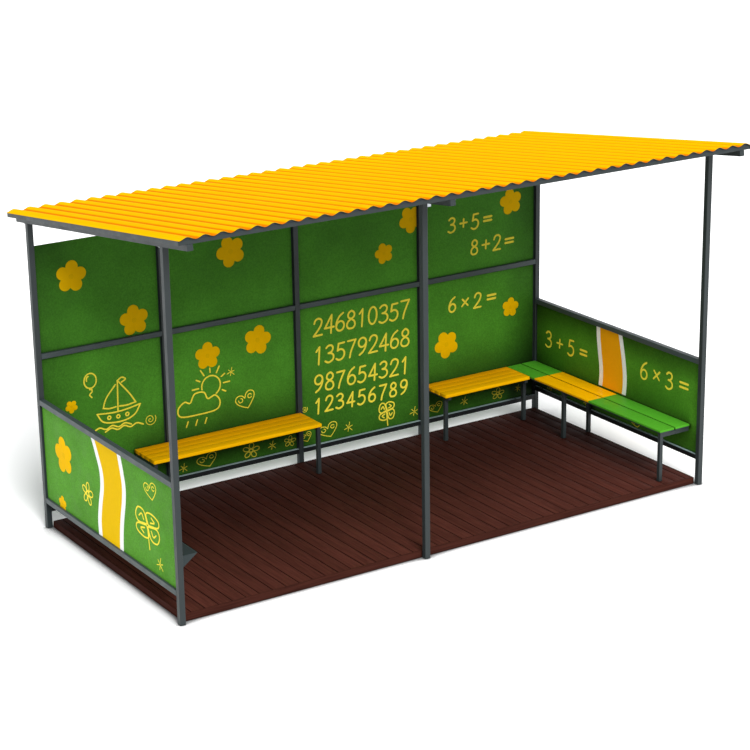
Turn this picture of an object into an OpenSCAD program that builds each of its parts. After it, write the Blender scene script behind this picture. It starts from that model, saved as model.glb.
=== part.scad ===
// Open garden pavilion: square steel tube frame, corrugated mono-pitch roof, panelled back wall,
// low panelled side walls, benches along two walls, a wall tray and a low board deck.
// Millimetres, Z up. X runs along the length, Y from the open front (negative) to the back wall.
// Origin: floor level, centre of the roof outline.

/* [Overall] */

// Length over the outer faces of the corner posts
frame_l = 4500; // [4100:10:5000]
// Depth over the outer faces of the corner posts
frame_d = 2110; // [1900:10:2400]
// Height of the rafter underside at the front face of the front posts
front_h = 2569; // [2400:1:2800]
// Height of the rafter underside at the back face of the back posts
back_h = 2295; // [2150:1:2550]

/* [Posts] */

// Width of the square post and rafter tube
tube = 42; // [38:1:50]
// Outer corner radius of the post tube
tube_r = 4; // [2:0.5:6]
// Left face of the middle front post from the left end
front_mid = 1945; // [1800:5:2300]
// Left face of the first inner back post from the left end
back_1 = 1010; // [950:5:1150]
// Left face of the second inner back post from the left end
back_2 = 2158; // [2050:1:2300]
// Left face of the third inner back post from the left end
back_3 = 3306; // [3200:1:3450]

/* [Roof] */

// Reach of the sheet in front of the front posts
eave_front = 345; // [250:5:450]
// Reach of the sheet behind the back posts
eave_back = 170; // [100:5:300]
// Reach of the sheet beyond the end posts
eave_side = 60; // [30:5:120]
// Height of a purlin
purlin_h = 30; // [25:1:50]
// Depth of a purlin along the slope
purlin_d = 40; // [30:1:60]
// Number of waves across the sheet
waves = 38; // [30:1:45]
// Height of a wave from valley to crest
wave_h = 18; // [12:1:30]
// Thickness of the sheet
sheet_t = 2; // [1.5:0.1:3]

/* [Walls] */

// Height and face width of a wall rail
rail = 40; // [35:1:50]
// Depth of a back wall rail
rail_d = 25; // [20:1:30]
// Thickness of a wall board
board_t = 8; // [6:1:12]
// Top of the back bottom rail
back_low = 165; // [140:1:240]
// Top of the back middle rail
back_mid = 1334; // [1250:1:1400]
// Top edge of the back wall boards
back_top = 2126; // [2050:1:2160]
// Top of the side bottom rail
side_low = 240; // [190:1:270]
// Top of the side top rail
side_top = 997; // [930:1:1050]

/* [Benches] */

// Height of the seat above the floor
seat_h = 462; // [430:1:500]
// Thickness of a seat slat
slat_t = 25; // [20:1:30]
// Depth of the two benches along the back wall
seat_d = 318; // [290:1:350]
// Gap between two slats
slat_gap = 7; // [4:0.5:10]
// Tube of the bench frames
leg = 30; // [25:1:35]
// Left end of the left bench from the left end
left_from = 735; // [650:5:850]
// Right end of the left bench from the left end
left_to = 2176; // [2170:1:2196]
// Left end of the right back bench from the left end
right_from = 3336; // [3310:1:3400]
// Distance of the right back bench's leg from its left end
right_leg_in = 32; // [4:1:80]
// Distance of the right back bench's leg from its front edge
right_leg_back = 58; // [12:1:90]
// Width of the side bench
side_w = 288; // [270:1:310]
// Gap between the two planks of the side bench
plank_gap = 14; // [8:1:20]
// Front end of the side bench from the front
side_from = 118; // [90:1:150]
// Distance of the front leg of the side bench from the front
side_leg_1 = 124; // [119:1:300]
// Distance of the middle legs of the side bench from the front
side_leg_2 = 1310; // [1000:10:1500]
// Distance of the corner leg of the side bench from the back posts
corner_leg = 218; // [100:1:300]
// Distance of the inner legs from the inner edge of the side bench
side_leg_in = 6; // [4:1:80]
// First colour joint of the side bench from the front
side_joint_1 = 990; // [900:5:1050]
// Second colour joint of the side bench from the front
side_joint_2 = 1690; // [1600:5:1740]

/* [Deck] */

// Top of the deck
deck_h = 52; // [44:1:80]
// Thickness of the deck boards
deck_t = 26; // [20:1:32]
// Gap between the deck and the corner posts
deck_gap = 3; // [2:1:25]
// Thickness of the deck edge strip
edge_t = 18; // [15:1:25]
// Width of a deck joist
joist_w = 45; // [40:1:60]

/* [Tray] */

// Length of the wall tray
tray_l = 360; // [250:5:450]
// Reach of the tray from the wall board
tray_w = 167; // [120:1:200]
// Distance of the tray from the front post
tray_from = 40; // [10:5:200]
// Height of the tray front
tray_h = 125; // [100:5:160]
// Top of the tray
tray_top = 452; // [430:1:470]
// Thickness of the tray sheet
tray_t = 3; // [2:0.5:4]

/* [Hidden] */

slope = atan((front_h - back_h) / frame_d);
x0 = -frame_l / 2;
sheet_z = tube + purlin_h + wave_h / 2;
y0 = -(frame_d + eave_back - eave_front) / 2 - (sheet_z + sheet_t / 2) * sin(slope);
y1 = y0 + frame_d;
inner_l = x0 + tube;
inner_r = -inner_l;
wall_y = y1 - tube;
board_y = wall_y + rail_d;
sheet_front = -eave_front / cos(slope);
sheet_back = (frame_d + eave_back) / cos(slope);
beam_front = sheet_front + 15;
beam_back = sheet_back - 20;
sheet_w = frame_l + 2 * eave_side;
pitch = sheet_w / waves;
steps = 12;
side_mid = tube / 2;
tray_x = x0 + side_mid + board_t / 2;
deck_in = tube + deck_gap;
deck_l = frame_l - 2 * deck_in;
deck_d = frame_d - 2 * deck_in;
slat_w = (seat_d - 3 * slat_gap) / 4;
plank_w = (side_w - plank_gap) / 2;
seat_y = wall_y - seat_d;
side_x = inner_r - side_w;
frame_z = seat_h - slat_t - leg;
corner_y = wall_y - corner_leg;
green_dark = [0.23, 0.48, 0.13];
steel = [0.25, 0.27, 0.30];
yellow = [0.98, 0.78, 0.05];
brown = [0.27, 0.13, 0.10];
green = [0.33, 0.67, 0.17];

// square tube profile with rounded corners, lower left corner at the origin
module tube_profile(s, r) {
  translate([r, 0]) square([s - 2 * r, s]);
  translate([0, r]) square([s, s - 2 * r]);
  for (i = [r, s - r])
    for (j = [r, s - r])
      translate([i, j]) circle(r = r, $fn = 24);
}

// everything above the rafter underside
module roof_space() {
  translate([0, y0, front_h])
    rotate([-slope, 0, 0])
      translate([-frame_l, -frame_l, 0])
        cube([2 * frame_l, 3 * frame_l, frame_l]);
}

// places children in the roof's own frame, whose origin is the rafter underside over the front face
// of the front posts
module on_slope() {
  translate([0, y0, front_h])
    rotate([-slope, 0, 0])
      children();
}

// post whose lower left corner stands at x from the left end and y from the front
module post(x, y) {
  color(steel)
    difference() {
      translate([x0 + x, y0 + y, 0])
        linear_extrude(height = front_h + 50)
          tube_profile(tube, tube_r);
      roof_space();
    }
}

module post_front_left() {
  post(0, 0);
}

module post_front_middle() {
  post(front_mid, 0);
}

module post_front_right() {
  post(frame_l - tube, 0);
}

module post_back_left() {
  post(0, frame_d - tube);
}

module post_back_1() {
  post(back_1, frame_d - tube);
}

module post_back_2() {
  post(back_2, frame_d - tube);
}

module post_back_3() {
  post(back_3, frame_d - tube);
}

module post_back_right() {
  post(frame_l - tube, frame_d - tube);
}

// rafter with its left face at x from the left end
module rafter(x) {
  color(steel)
    on_slope()
      translate([x0 + x, beam_front, 0])
        cube([tube, beam_back - beam_front, tube]);
}

module rafter_left() {
  rafter(0);
}

module rafter_middle() {
  rafter(front_mid);
}

module rafter_right() {
  rafter(frame_l - tube);
}

// header between two rafters over the back posts, its left end at x from the left end
module header(x, len) {
  color(steel)
    on_slope()
      translate([x0 + x, (frame_d - tube) / cos(slope), 0])
        cube([len, tube, tube]);
}

module header_back_left() {
  header(tube, front_mid - tube);
}

module header_back_right() {
  header(front_mid + tube, frame_l - front_mid - 2 * tube);
}

// purlin number i of 0 to 3 on top of the rafters
module purlin(i) {
  first = beam_front;
  last = beam_back - purlin_d;
  color(steel)
    on_slope()
      translate([-sheet_w / 2 + 5, first + i * (last - first) / 3, tube])
        cube([sheet_w - 10, purlin_d, purlin_h]);
}

module purlin_front() {
  purlin(0);
}

module purlin_second() {
  purlin(1);
}

module purlin_third() {
  purlin(2);
}

module purlin_back() {
  purlin(3);
}

// height of the wave at step i
function wave(i) = -wave_h / 2 * cos(360 * i / steps);

module roof_sheet() {
  n = waves * steps;
  top = [for (i = [0:n]) [i * pitch / steps, wave(i) + sheet_t]];
  under = [for (i = [n:-1:0]) [i * pitch / steps, wave(i)]];
  color(yellow)
    on_slope()
      translate([-sheet_w / 2, sheet_back, sheet_z])
        rotate([90, 0, 0])
          linear_extrude(height = sheet_back - sheet_front)
            polygon(concat(top, under));
}

// rails of the four bays of the back wall with their top at z
module back_rails(z) {
  ends = [0, back_1, back_2, back_3, frame_l - tube];
  color(steel)
    for (i = [0:3])
      translate([x0 + ends[i] + tube, wall_y, z - rail])
        cube([ends[i + 1] - ends[i] - tube, rail_d, rail]);
}

module back_low_rails() {
  back_rails(back_low);
}

module back_middle_rails() {
  back_rails(back_mid);
}

// board of a back bay between the posts at a and b
module back_board(a, b) {
  color(green_dark)
    translate([x0 + a + tube, board_y, back_low - rail])
      cube([b - a - tube, board_t, back_top - back_low + rail]);
}

module back_board_1() {
  back_board(0, back_1);
}

module back_board_2() {
  back_board(back_1, back_2);
}

module back_board_3() {
  back_board(back_2, back_3);
}

module back_board_4() {
  back_board(back_3, frame_l - tube);
}

// rail of a side wall whose outer face is at x, top at z
module side_rail(x, z) {
  color(steel)
    translate([x, y0 + tube, z - rail])
      cube([tube, frame_d - 2 * tube, rail]);
}

module left_top_rail() {
  side_rail(x0, side_top);
}

module left_low_rail() {
  side_rail(x0, side_low);
}

module right_top_rail() {
  side_rail(-x0 - tube, side_top);
}

module right_low_rail() {
  side_rail(-x0 - tube, side_low);
}

// board of a side wall, its centre plane at x
module side_board(x) {
  color(green_dark)
    translate([x - board_t / 2, y0 + tube, side_low])
      cube([board_t, frame_d - 2 * tube, side_top - rail - side_low]);
}

module left_board() {
  side_board(x0 + side_mid);
}

module right_board() {
  side_board(-x0 - side_mid);
}

// leg standing on the deck, lower left corner at x, y
module bench_leg(x, y) {
  translate([x, y, deck_h])
    cube([leg, leg, frame_z - deck_h]);
}

// tube under the slats from the rear bearer forward, left face at x
module cross_tube(x) {
  translate([x, seat_y + 12, frame_z])
    cube([leg, seat_d - 12, leg]);
}

// tube along the back posts between x = a and x = b
module rear_bearer(a, b) {
  translate([a, wall_y - leg, frame_z])
    cube([b - a, leg, leg]);
}

// four slats between x = a and x = b
module wall_bench_seat(a, b) {
  color(yellow)
    for (i = [0:3])
      translate([a, seat_y + i * (slat_w + slat_gap), seat_h - slat_t])
        cube([b - a, slat_w, slat_t]);
}

module left_bench_frame() {
  a = x0 + left_from + 4;
  b = x0 + left_to - 4;
  color(steel) {
    rear_bearer(a, b);
    for (x = [a, b - leg]) {
      cross_tube(x);
      bench_leg(x, seat_y + 12);
    }
  }
}

module left_bench_seat() {
  wall_bench_seat(x0 + left_from, x0 + left_to);
}

// hangs at its right end on the frame of the side bench
module right_bench_frame() {
  a = x0 + right_from + right_leg_in;
  color(steel) {
    rear_bearer(x0 + back_3 + 4, inner_r - leg);
    cross_tube(a);
    bench_leg(a, seat_y + right_leg_back);
    cross_tube(side_x - leg - 14);
    translate([a, corner_y, frame_z])
      cube([side_x + side_leg_in - a, leg, leg]);
  }
}

module right_bench_seat() {
  wall_bench_seat(x0 + right_from, side_x - 4);
}

module side_bench_frame() {
  color(steel) {
    translate([inner_r - leg, y0 + side_from + 6, frame_z])
      cube([leg, frame_d - tube - side_from - 6, leg]);
    for (y = [y0 + side_leg_1, y0 + side_leg_2, corner_y]) {
      translate([side_x + side_leg_in, y, frame_z])
        cube([side_w - side_leg_in, leg, leg]);
      bench_leg(side_x + side_leg_in, y);
    }
    bench_leg(inner_r - leg, y0 + side_leg_2);
  }
}

// the two planks of the side bench between y = a and y = b from the front
module side_planks(a, b, c) {
  color(c)
    for (x = [side_x, side_x + plank_w + plank_gap])
      translate([x, y0 + a, seat_h - slat_t])
        cube([plank_w, b - a, slat_t]);
}

module side_bench_front() {
  side_planks(side_from, side_joint_1, green);
}

module side_bench_middle() {
  side_planks(side_joint_1, side_joint_2, yellow);
}

module side_bench_back() {
  side_planks(side_joint_2, frame_d - tube, green);
}

module deck_boards() {
  color(brown)
    translate([-deck_l / 2 + edge_t, y0 + deck_in + edge_t, deck_h - deck_t])
      cube([deck_l - 2 * edge_t, deck_d - 2 * edge_t, deck_t]);
}

module deck_edge() {
  color(brown)
    difference() {
      translate([-deck_l / 2, y0 + deck_in, 0])
        cube([deck_l, deck_d, deck_h]);
      translate([-deck_l / 2 + edge_t, y0 + deck_in + edge_t, -1])
        cube([deck_l - 2 * edge_t, deck_d - 2 * edge_t, deck_h + 2]);
    }
}

module deck_joists() {
  n = 5;
  free = deck_d - 2 * edge_t - joist_w;
  color(brown)
    for (i = [0:n - 1])
      translate([-deck_l / 2 + edge_t, y0 + deck_in + edge_t + i * free / (n - 1), 0])
        cube([deck_l - 2 * edge_t, joist_w, deck_h - deck_t]);
}

// tray of folded sheet on the inner side of the left wall, open at the top
module tray_side(w, h) {
  polygon([[0, 0], [w, 0], [0, -h]]);
}

module wall_tray() {
  hole_w = tray_w - 2.6 * tray_t;
  color(steel)
    translate([tray_x, y0 + tube + tray_from + tray_l, tray_top])
      rotate([90, 0, 0])
        difference() {
          linear_extrude(height = tray_l)
            tray_side(tray_w, tray_h);
          translate([tray_t, 0.01, tray_t])
            linear_extrude(height = tray_l - 2 * tray_t)
              tray_side(hole_w - tray_t, tray_h * (hole_w - tray_t) / tray_w);
        }
}

post_front_left();
post_front_middle();
post_front_right();
post_back_left();
post_back_1();
post_back_2();
post_back_3();
post_back_right();
rafter_left();
rafter_middle();
rafter_right();
header_back_left();
header_back_right();
purlin_front();
purlin_second();
purlin_third();
purlin_back();
roof_sheet();
back_low_rails();
back_middle_rails();
back_board_1();
back_board_2();
back_board_3();
back_board_4();
left_top_rail();
left_low_rail();
left_board();
right_top_rail();
right_low_rail();
right_board();
left_bench_frame();
left_bench_seat();
right_bench_frame();
right_bench_seat();
side_bench_frame();
side_bench_front();
side_bench_middle();
side_bench_back();
deck_boards();
deck_edge();
deck_joists();
wall_tray();
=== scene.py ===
"""Dresses the solids of an open garden pavilion: steel tube frame, corrugated roof, painted boards,
benches and board deck. Metres, Z up, in the solids' own frame."""

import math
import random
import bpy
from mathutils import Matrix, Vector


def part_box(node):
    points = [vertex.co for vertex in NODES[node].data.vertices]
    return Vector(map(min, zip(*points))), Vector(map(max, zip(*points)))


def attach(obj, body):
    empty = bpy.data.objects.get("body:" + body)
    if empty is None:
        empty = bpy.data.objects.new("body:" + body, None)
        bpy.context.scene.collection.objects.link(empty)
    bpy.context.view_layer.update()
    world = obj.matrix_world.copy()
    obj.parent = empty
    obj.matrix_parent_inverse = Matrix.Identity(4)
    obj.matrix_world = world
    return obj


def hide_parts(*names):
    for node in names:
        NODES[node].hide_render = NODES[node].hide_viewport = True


bl_info = {
    "name": "Garden Pavilion",
    "version": (1, 0, 0),
    "blender": (4, 5, 0),
    "location": "View3D > Sidebar > Pavilion",
    "description": "Builds and finishes an open garden pavilion with painted boards and benches",
    "category": "Object",
}

import bmesh
import bpy
from bpy.props import FloatProperty, FloatVectorProperty, IntProperty, PointerProperty
from mathutils import Matrix, Vector

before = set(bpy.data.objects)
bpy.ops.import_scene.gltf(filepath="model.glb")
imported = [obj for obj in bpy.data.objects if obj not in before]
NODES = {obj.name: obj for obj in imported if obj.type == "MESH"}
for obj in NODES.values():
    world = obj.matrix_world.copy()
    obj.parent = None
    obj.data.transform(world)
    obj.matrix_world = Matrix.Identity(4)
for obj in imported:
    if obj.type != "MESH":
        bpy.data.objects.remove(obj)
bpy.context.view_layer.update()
BODY = "root"


def named(start="", end=""):
    """The solids whose names start and end so, in order."""
    return sorted(name for name in NODES if name.startswith(start) and name.endswith(end))


POSTS = named("post_")
INNER_BACK_POSTS = ("post_back_1", "post_back_2", "post_back_3")
BEAMS = named(("rafter_", "header_", "purlin_"))
RAILS = named(end=("_rail", "_rails"))
BENCH_FRAMES = named(end="_bench_frame")
BACK_BOARDS = named("back_board_")
SIDE_BOARDS = ("left_board", "right_board")
PLATE_EDGE = 0.0008  # rounding of the edges of thin plate


def linear(code):
    """Turn an sRGB hex colour into linear red, green and blue."""
    parts = [int(code[i : i + 2], 16) / 255 for i in (1, 3, 5)]
    return tuple(c / 12.92 if c <= 0.04045 else ((c + 0.055) / 1.055) ** 2.4 for c in parts)


def size(name, text, default, low=0.0, high=10.0):
    """One length that a user may change."""
    return FloatProperty(
        name=name, description=text, default=default, min=low, max=high, unit="LENGTH", precision=4
    )


def colour(name, text, code):
    """One paint colour that a user may change."""
    return FloatVectorProperty(
        name=name, description=text, default=linear(code), subtype="COLOR", size=3, min=0.0, max=1.0
    )


class PavilionSizes(bpy.types.PropertyGroup):
    """Sizes of the visible details, in metres."""

    wave_height: size("Wave height", "Height of a roof wave from valley to crest", 0.018)
    sheet_thickness: size("Sheet thickness", "Thickness of the roof sheet", 0.002)
    purlin_height: size("Purlin height", "Height of a purlin under the sheet", 0.030)
    waves: IntProperty(name="Waves", description="Number of waves across the roof", default=38, min=1)
    closure_width: size("Closure width", "Width of the foam closures under the roof sheet", 0.024)
    board_pitch: size("Board pitch", "Distance from one deck board to the next", 0.1042)
    board_seam: size("Board seam", "Gap between two deck boards", 0.006)
    # the seals are dark strips that stand in for the shade along the board edges
    shade_seal_width: size("Seal width", "Width of the seals along the back boards", 0.007)
    side_shade_seal: size("Side seal width", "Width of the seals along the side boards", 0.004)
    slat_gap: size("Slat gap", "Gap between two bench slats", 0.0035)
    plank_thickness: size("Plank thickness", "Thickness of a plank of the side bench", 0.015)
    plank_gap: size("Plank gap", "Gap between the planks of the side bench", 0.012)
    edge_radius: size("Edge radius", "Rounding of the slats' and planks' edges", 0.0012)
    tube_radius: size("Tube radius", "Rounding of the steel tubes' edges", 0.003)
    tray_radius: size("Tray radius", "Rounding of the wall tray's edges", 0.0009)
    board_radius: size("Board radius", "Rounding of the deck boards' edges", 0.002)
    edge_board_radius: size("Edge board radius", "Rounding of the deck's edge board", 0.003)
    left_border: size("Left border", "Width of the borders of the left wall's stripe", 0.055)
    right_border: size("Right border", "Width of the borders of the right wall's stripe", 0.047)
    digit_height: size("Digit height", "Full height of a painted digit", 0.140)
    line_width: size("Line width", "Width of a painted line in the drawings", 0.013)
    paint_rise: size("Paint rise", "How far the paint stands off the board", 0.0008)
    cleat_width: size("Cleat width", "Width of the cleats behind the posts", 0.030)
    cleat_leg: size("Cleat leg", "Length of a cleat's legs", 0.034)
    bracket_leg: size("Bracket leg", "Length of the legs of the middle post's bracket", 0.028)
    plate_thickness: size("Plate thickness", "Thickness of the cleats, bracket and roof trims", 0.003)


class PavilionColours(bpy.types.PropertyGroup):
    """Paint and stain colours."""

    steel: colour("Steel", "Powder coat of the frame", "#293031")
    roof: colour("Roof", "Coating of the roof sheet", "#ebb600")
    roof_back: colour("Roof back", "Back coat under the roof sheet", "#64686a")
    board_back: colour("Back boards", "Paint of the back wall", "#4f942a")
    board_side: colour("Side boards", "Paint of the side walls", "#539427")
    flower: colour("Flowers", "Paint of the flowers", "#f6c000")
    line: colour("Lines", "Paint of the drawings and numbers", "#ffe848")
    stripe_left: colour("Left stripe", "Paint of the left wall's wavy stripe", "#edc003")
    stripe_right: colour("Right stripe", "Paint of the right wall's wavy stripe", "#ffae10")
    rubber: colour("Rubber", "Seals along the boards", "#1c2225")
    foam: colour("Foam", "Closures under the roof sheet", "#353b42")
    border: colour("Border", "Paint beside the wavy stripes", "#ffffff")
    slat_yellow: colour("Yellow slats", "Enamel of the yellow slats", "#ffbe00")
    slat_green: colour("Green planks", "Enamel of the green planks", "#50a82a")
    deck: colour("Deck", "Stain of the deck", "#4a2720")
    deck_edge: colour("Deck edge", "Stain of the deck's edge board and joists", "#42221b")


# ---------------------------------------------------------------- materials


def empty_tree(owner):
    """Give a material or a world an empty node tree."""
    owner.use_nodes = True
    owner.node_tree.nodes.clear()
    return owner.node_tree


def add_node(tree, kind, inputs=None, **settings):
    """Add a shader node with its settings; inputs hold values or the outputs that feed them."""
    made = tree.nodes.new(kind)
    for key, value in settings.items():
        setattr(made, key, value)
    for key, value in (inputs or {}).items():
        if isinstance(value, bpy.types.NodeSocket):
            tree.links.new(value, made.inputs[key])
        else:
            made.inputs[key].default_value = value
    return made


def start_material(name):
    """A new empty material; returns it with its tree and the object coordinates in metres."""
    material = bpy.data.materials.new(name)
    tree = empty_tree(material)
    return material, tree, add_node(tree, "ShaderNodeTexCoord").outputs["Object"]


def finish_material(material, inputs):
    """Close a material with its shader and output."""
    shader = add_node(material.node_tree, "ShaderNodeBsdfPrincipled", inputs)
    add_node(material.node_tree, "ShaderNodeOutputMaterial", {"Surface": shader.outputs["BSDF"]})
    return material


def finish_coating(material, body, roughness, gloss, height=None, depth=0.0, strength=0.5):
    """Close a paint, stain or rubber: its colour, roughness and gloss, over a relief that deep."""
    inputs = {"Base Color": body, "Roughness": roughness, "IOR": 1.5, "Specular IOR Level": gloss}
    if height is not None:
        relief = {"Height": height, "Distance": depth, "Strength": strength}
        inputs["Normal"] = add_node(material.node_tree, "ShaderNodeBump", relief).outputs["Normal"]
    return finish_material(material, inputs)


def shade(rgb, factor):
    """The colour made lighter or darker, by one factor or by one for each channel."""
    factors = factor if isinstance(factor, tuple) else (factor,) * 3
    return tuple(min(1.0, c * f) for c, f in zip(rgb, factors)) + (1.0,)


def blotches(tree, place, scale, low, high, detail=4.0):
    """Soft uneven patches, that many per metre, spread over low to high."""
    noise = add_node(tree, "ShaderNodeTexNoise", {"Vector": place, "Scale": scale, "Detail": detail})
    spread = {"Value": noise.outputs["Fac"], "From Min": 0.3, "From Max": 0.7, "To Min": low, "To Max": high}
    return add_node(tree, "ShaderNodeMapRange", spread).outputs["Result"]


def toned(tree, share, rgb, first, last):
    """The colour as it goes from its first shade to its last with a share from 0 to 1."""
    ends = {0: share, 6: shade(rgb, first), 7: shade(rgb, last)}
    return add_node(tree, "ShaderNodeMix", ends, data_type="RGBA").outputs[2]


def uneven(tree, place, rgb, scale, dark, light, detail=4.0):
    """The colour as it drifts from darker to lighter in soft patches, that many per metre."""
    return toned(tree, blotches(tree, place, scale, 0.0, 1.0, detail), rgb, dark, light)


def dimmed(tree, body, value, start, stop, first, last, ease="SMOOTHSTEP"):
    """The colour times a share that goes from first to last as the value goes from start to stop."""
    span = {"Value": value, "From Min": start, "From Max": stop, "To Min": first, "To Max": last}
    share = add_node(tree, "ShaderNodeMapRange", span, interpolation_type=ease).outputs["Result"]
    ends = {0: share, 6: (0.0, 0.0, 0.0, 1.0), 7: body}
    return add_node(tree, "ShaderNodeMix", ends, data_type="RGBA").outputs[2]


def with_corner_shade(tree, body, reach=0.35, least=0.12):
    """The colour darkened by painted shade where little open space is in view: under benches, along rails
    and in seams.
    """
    corner = add_node(tree, "ShaderNodeAmbientOcclusion", {"Distance": reach}, samples=8)
    return dimmed(tree, body, corner.outputs["AO"], 0.25, 0.95, least, 1.0, "LINEAR")


def powder_coated_steel(name, rgb, gloss=0.3, highlight_top=None):
    """Powder-coated mild steel: satin, with a faint orange peel and slightly uneven tone."""
    material, tree, place = start_material(name)
    if highlight_top is None:
        body = uneven(tree, place, rgb, 3.0, 0.9, 1.1)
    else:
        # a rail near the ground: its face much darker than the frame, and its top edge pale, a painted
        # highlight
        up = add_node(tree, "ShaderNodeSeparateXYZ", {0: place}).outputs["Z"]
        span = {"Value": up, "From Min": highlight_top - 0.004, "From Max": highlight_top - 0.001}
        painted_light = add_node(tree, "ShaderNodeMapRange", span).outputs["Result"]
        body = toned(tree, painted_light, rgb, 0.22, 13.0)
    # orange peel is about 1 mm; drawn at 3 mm so that it shows
    peel = blotches(tree, place, 330.0, 0.0, 1.0, 1.0)
    return finish_coating(material, body, blotches(tree, place, 11.0, 0.36, 0.52), gloss, peel, 0.0002)


def moulded_rubber(name, rgb):
    """Extruded black rubber and foam profile: dull, slightly mottled, for the seals, dark strips that stand
    in for the shade along the board edges.
    """
    material, tree, place = start_material(name)
    return finish_coating(material, uneven(tree, place, rgb, 40.0, 0.85, 1.15), 0.7, 0.2)


def coil_coated_sheet(name, rgb):
    """Colour-coated corrugated steel: smooth and semi-gloss, with painted shade deepening the colour in the
    valleys.
    """
    material, tree, place = start_material(name)
    crest = uneven(tree, place, rgb, 1.6, 0.96, 1.0)
    # painted shade: the colour deeper and more orange in the valleys
    valley = add_node(tree, "ShaderNodeAttribute", attribute_name="valley").outputs["Fac"]
    ends = {0: valley, 6: crest, 7: shade(rgb, (0.9, 0.42, 0.0))}
    body = add_node(tree, "ShaderNodeMix", ends, data_type="RGBA").outputs[2]
    # rolled sheet has long shallow ripples, about 80 mm apart
    ripple = blotches(tree, place, 12.0, 0.0, 1.0, 1.0)
    return finish_coating(material, body, 0.6, 0.005, ripple, 0.0006, 0.4)


def painted_panel(name, rgb, shade_bands=()):
    """Exterior plywood rolled with acrylic paint: cloudy tone, a fine roller nap and a soft sheen."""
    material, tree, place = start_material(name)
    body = uneven(tree, place, rgb, 3.2, 0.86, 1.12, 6.0)
    axes = add_node(tree, "ShaderNodeSeparateXYZ", {0: place}).outputs
    aside = add_node(tree, "ShaderNodeMath", {0: axes["X"]}, operation="ABSOLUTE").outputs[0]
    ways = {"up": axes["Z"], "aside": aside}
    # painted shade: the colour darkened band by band, by height or by distance from the middle
    for way, start, stop, least in shade_bands:
        body = dimmed(tree, body, ways[way], start, stop, 1.0, least)
    # roller nap is about 1 mm; drawn at 10 mm in the colour so that it shows
    both = {0: 1.0, 6: body, 7: blotches(tree, place, 100.0, 0.76, 1.12, 2.0)}
    body = add_node(tree, "ShaderNodeMix", both, data_type="RGBA", blend_type="MULTIPLY").outputs[2]
    nap = blotches(tree, place, 260.0, 0.0, 1.0, 2.0)
    rough = blotches(tree, place, 9.0, 0.48, 0.64)
    # painted shade along the rails and under the benches
    return finish_coating(material, with_corner_shade(tree, body), rough, 0.08, nap, 0.0004, 0.6)


def brushed_paint(name, rgb, shade_corners=True):
    """Acrylic paint laid on with a brush: slightly streaky, satin."""
    material, tree, place = start_material(name)
    body = uneven(tree, place, rgb, 45.0, 0.96, 1.0, 3.0)
    if shade_corners:
        # painted shade in corners and under the benches
        body = with_corner_shade(tree, body)
    return finish_coating(material, body, 0.55, 0.03, blotches(tree, place, 240.0, 0.0, 1.0, 1.0), 0.0003)


def grained_wood(name, rgb, along, gloss, roughness, streaks, tones, relief, back_darkening=None):
    """Wood with its grain along X or Y: streaks about 6 mm wide and 0.3 m long, a tone for each board."""
    material, tree, place = start_material(name)
    scale = (3.2, 160.0, 160.0) if along == "X" else (160.0, 3.2, 160.0)
    squeezed = add_node(tree, "ShaderNodeMapping", {"Vector": place, "Scale": scale}).outputs["Vector"]
    grain = {"Vector": squeezed, "Scale": 1.0, "Detail": 5.0, "Distortion": 0.6}
    fibre = add_node(tree, "ShaderNodeTexNoise", grain).outputs["Fac"]
    tone = add_node(tree, "ShaderNodeAttribute", attribute_name="tone").outputs["Fac"]
    body = toned(tree, tone, rgb, *tones)
    if back_darkening:
        # the stain darkens from the open front towards the back
        back = add_node(tree, "ShaderNodeSeparateXYZ", {0: place}).outputs["Y"]
        body = dimmed(tree, body, back, *back_darkening)
    span = {"Value": fibre, "From Min": 0.35, "From Max": 0.65}
    share = add_node(tree, "ShaderNodeMapRange", span).outputs["Result"]
    ends = {0: share, 6: streaks[0], 7: streaks[1]}
    streak = add_node(tree, "ShaderNodeMix", ends, data_type="RGBA").outputs[2]
    both = {0: 1.0, 6: body, 7: streak}
    body = add_node(tree, "ShaderNodeMix", both, data_type="RGBA", blend_type="MULTIPLY").outputs[2]
    rough = blotches(tree, place, 10.0, roughness - 0.08, roughness + 0.08)
    # painted shade in the seams between boards and slats
    return finish_coating(material, with_corner_shade(tree, body, 0.02, 0.1), rough, gloss, fibre, 0.0012, relief)


def enamelled_wood(name, rgb, along):
    """Pine slat under brushed enamel: semi-gloss, the raised grain telegraphs through the paint."""
    streaks = (0.9, 0.87, 0.85, 1.0), (1.0, 1.0, 1.0, 1.0)
    return grained_wood(name, rgb, along, 0.06, 0.42, streaks, ((0.97, 0.76, 0.9), 1.0), 0.3)


def stained_board(name, rgb, along="Y"):
    """Softwood decking under dark brown stain: dull, grained, darker towards the back."""
    streaks = (0.62, 0.60, 0.60, 1.0), (1.22, 1.20, 1.18, 1.0)
    back_darkening = (-0.8, 0.6, 1.0, 0.55)
    return grained_wood(name, rgb, along, 0.03, 0.63, streaks, (0.88, 1.1), 0.6, back_darkening)


def zinc_plated_steel():
    """Zinc-plated steel: bright bluish grey with a faint mottle, for bolts and cleats."""
    material, tree, place = start_material("zinc plated steel")
    white = (1.0, 1.0, 1.0)
    body = uneven(tree, place, white, 90.0, linear("#9aa1a6"), linear("#c4c9cc"), 2.0)
    return finish_material(material, {"Base Color": body, "Metallic": 1.0, "Roughness": 0.34})


# ---------------------------------------------------------------- mesh tools


def make_piece(name, bm, materials):
    """Turn a bmesh into a piece that rides on the frame."""
    bmesh.ops.recalc_face_normals(bm, faces=bm.faces)
    mesh = bpy.data.meshes.new(name)
    bm.to_mesh(mesh)
    bm.free()
    for face in mesh.polygons:
        face.use_smooth = True
    for material in materials:
        mesh.materials.append(material)
    mesh.set_sharp_from_angle(angle=math.radians(40))
    piece = bpy.data.objects.new(name, mesh)
    bpy.context.scene.collection.objects.link(piece)
    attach(piece, BODY)
    return piece


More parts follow.
